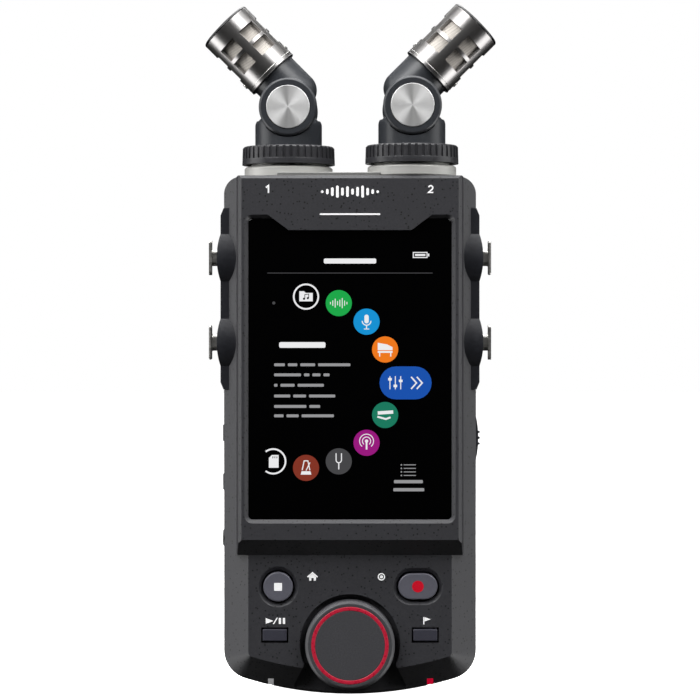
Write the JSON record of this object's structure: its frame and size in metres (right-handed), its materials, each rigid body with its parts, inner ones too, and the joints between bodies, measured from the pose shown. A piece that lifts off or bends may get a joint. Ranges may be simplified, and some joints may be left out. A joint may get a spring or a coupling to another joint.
{
  "type": "portable field recorder",
  "caption": "Handheld audio recorder with a large front screen, a round dial, side microphone sockets and a pair of tilting stereo microphones on locking collars.",
  "frame": {"origin": "bottom centre of the bounding box, under the lowest point of the rounded foot", "axes": "+Z from the foot to the microphones; the screen faces -Y; +X is the right-hand side as the user sees the screen"},
  "size_m": [0.0878, 0.0348, 0.2081],
  "materials": {
    "case_plastic": "fine-textured dark plastic with sparse black specks",
    "panel_plastic": "satin black plastic",
    "clear_glass": "gloss black display glass",
    "button_plastic": "satin blue-grey plastic",
    "dial_plastic": "satin dark grey plastic",
    "red_light": "translucent red, lit",
    "grey_light": "translucent grey",
    "aluminium": "fine turned satin",
    "spun_aluminium": "spun radial finish",
    "barrel_metal": "dark polished chrome",
    "arm_metal": "satin black paint",
    "mesh_steel": "fine woven wire mesh",
    "tab_steel": "bright nickel-plated steel",
    "brass": "machined",
    "board": "green laminate",
    "socket_black": "moulded black",
    "cell_wrap": "printed plastic sleeve",
    "screw_steel": "black oxide"
  },
  "bodies": {
    "case": {"front_case": "case_plastic", "rear_case": "case_plastic", "side_panel_left": "panel_plastic", "side_panel_right": "panel_plastic", "top_plate": "aluminium", "screen_glass": "clear_glass", "lcd_module": "socket_black", "main_board": "board", "control_board": "board", "dial_encoder": "screw_steel", "status_lens_left": "grey_light", "status_lens_right": "red_light", "battery_cells": "cell_wrap", "battery_contacts": "tab_steel", "speaker": "socket_black", "tripod_socket": "brass", "case_screws": "screw_steel", "headphone_jack": "socket_black", "line_out_jack": "socket_black", "aux_in_jack": "socket_black", "usb_port": "tab_steel", "card_slot": "tab_steel", "hinge_pins": "screw_steel", "combo_jack_1": "socket_black", "combo_jack_2": "socket_black", "combo_jack_3": "socket_black", "combo_jack_4": "socket_black", "mic_collar_left": "aluminium", "mic_pedestal_left": "arm_metal", "hinge_disc_left": "arm_metal", "hinge_cap_left": "spun_aluminium", "mic_collar_right": "aluminium", "mic_pedestal_right": "arm_metal", "hinge_disc_right": "arm_metal", "hinge_cap_right": "spun_aluminium"},
    "home_button": {"home_button": "button_plastic"},
    "record_button": {"record_button": "button_plastic"},
    "play_button": {"play_button": "button_plastic"},
    "mark_button": {"mark_button": "button_plastic"},
    "dial": {"data_dial": "dial_plastic", "dial_light_ring": "red_light"},
    "volume_up": {"volume_up_key": "panel_plastic"},
    "volume_down": {"volume_down_key": "panel_plastic"},
    "power_slider": {"power_slider": "panel_plastic"},
    "battery_door": {"battery_door": "case_plastic"},
    "latch_1": {"jack_latch_1": "tab_steel"},
    "latch_2": {"jack_latch_2": "tab_steel"},
    "latch_3": {"jack_latch_3": "tab_steel"},
    "latch_4": {"jack_latch_4": "tab_steel"},
    "lock_ring_left": {"lock_ring_left": "panel_plastic"},
    "mic_left": {"mic_arm_left": "arm_metal", "mic_barrel_left": "barrel_metal", "mic_mesh_left": "mesh_steel", "mic_capsule_left": "brass"},
    "lock_ring_right": {"lock_ring_right": "panel_plastic"},
    "mic_right": {"mic_arm_right": "arm_metal", "mic_barrel_right": "barrel_metal", "mic_mesh_right": "mesh_steel", "mic_capsule_right": "brass"}
  },
  "joints": [
    {"name": "home_press", "type": "slide", "parent": "case", "child": "home_button", "axis": [0, 1, 0], "range_m": [0, 0.0006], "stiffness_N_per_m": 500, "springref_m": -0.0008},
    {"name": "record_press", "type": "slide", "parent": "case", "child": "record_button", "axis": [0, 1, 0], "range_m": [0, 0.0006], "stiffness_N_per_m": 500, "springref_m": -0.0008},
    {"name": "play_press", "type": "slide", "parent": "case", "child": "play_button", "axis": [0, 1, 0], "range_m": [0, 0.0006], "stiffness_N_per_m": 500, "springref_m": -0.0008},
    {"name": "mark_press", "type": "slide", "parent": "case", "child": "mark_button", "axis": [0, 1, 0], "range_m": [0, 0.0006], "stiffness_N_per_m": 500, "springref_m": -0.0008},
    {"name": "dial_turn", "type": "hinge", "parent": "case", "child": "dial", "pos_m": [0, -0.0135, 0.0157], "axis": [0, -1, 0], "continuous": true},
    {"name": "latch_1_press", "type": "slide", "parent": "case", "child": "latch_1", "axis": [1, 0, 0], "range_m": [0, 0.0019], "stiffness_N_per_m": 600, "springref_m": -0.001},
    {"name": "latch_2_press", "type": "slide", "parent": "case", "child": "latch_2", "axis": [-1, 0, 0], "range_m": [0, 0.0019], "stiffness_N_per_m": 600, "springref_m": -0.001},
    {"name": "latch_3_press", "type": "slide", "parent": "case", "child": "latch_3", "axis": [1, 0, 0], "range_m": [0, 0.0019], "stiffness_N_per_m": 600, "springref_m": -0.001},
    {"name": "latch_4_press", "type": "slide", "parent": "case", "child": "latch_4", "axis": [-1, 0, 0], "range_m": [0, 0.0019], "stiffness_N_per_m": 600, "springref_m": -0.001},
    {"name": "volume_up_press", "type": "slide", "parent": "case", "child": "volume_up", "axis": [1, 0, 0], "range_m": [0, 0.0003], "stiffness_N_per_m": 800, "springref_m": -0.0005},
    {"name": "volume_down_press", "type": "slide", "parent": "case", "child": "volume_down", "axis": [1, 0, 0], "range_m": [0, 0.0003], "stiffness_N_per_m": 800, "springref_m": -0.0005},
    {"name": "power_slide", "type": "slide", "parent": "case", "child": "power_slider", "axis": [0, 0, 1], "range_m": [-0.002, 0.002]},
    {"name": "battery_door_hinge", "type": "hinge", "parent": "case", "child": "battery_door", "pos_m": [0, 0.0164, 0.0202], "axis": [-1, 0, 0], "range_deg": [0, 95]},
    {"name": "lock_ring_left_turn", "type": "hinge", "parent": "case", "child": "lock_ring_left", "pos_m": [-0.0187, 0.0033, 0.16265], "axis": [0, 0, 1], "range_deg": [0, 270]},
    {"name": "mic_left_tilt", "type": "hinge", "parent": "case", "child": "mic_left", "pos_m": [-0.0187, 0.0033, 0.17695], "axis": [0, 1, 0], "range_deg": [-15, 45]},
    {"name": "lock_ring_right_turn", "type": "hinge", "parent": "case", "child": "lock_ring_right", "pos_m": [0.0187, -0.0033, 0.16265], "axis": [0, 0, 1], "range_deg": [0, 270]},
    {"name": "mic_right_tilt", "type": "hinge", "parent": "case", "child": "mic_right", "pos_m": [0.0187, -0.0033, 0.17695], "axis": [0, -1, 0], "range_deg": [-15, 45]}
  ]
}
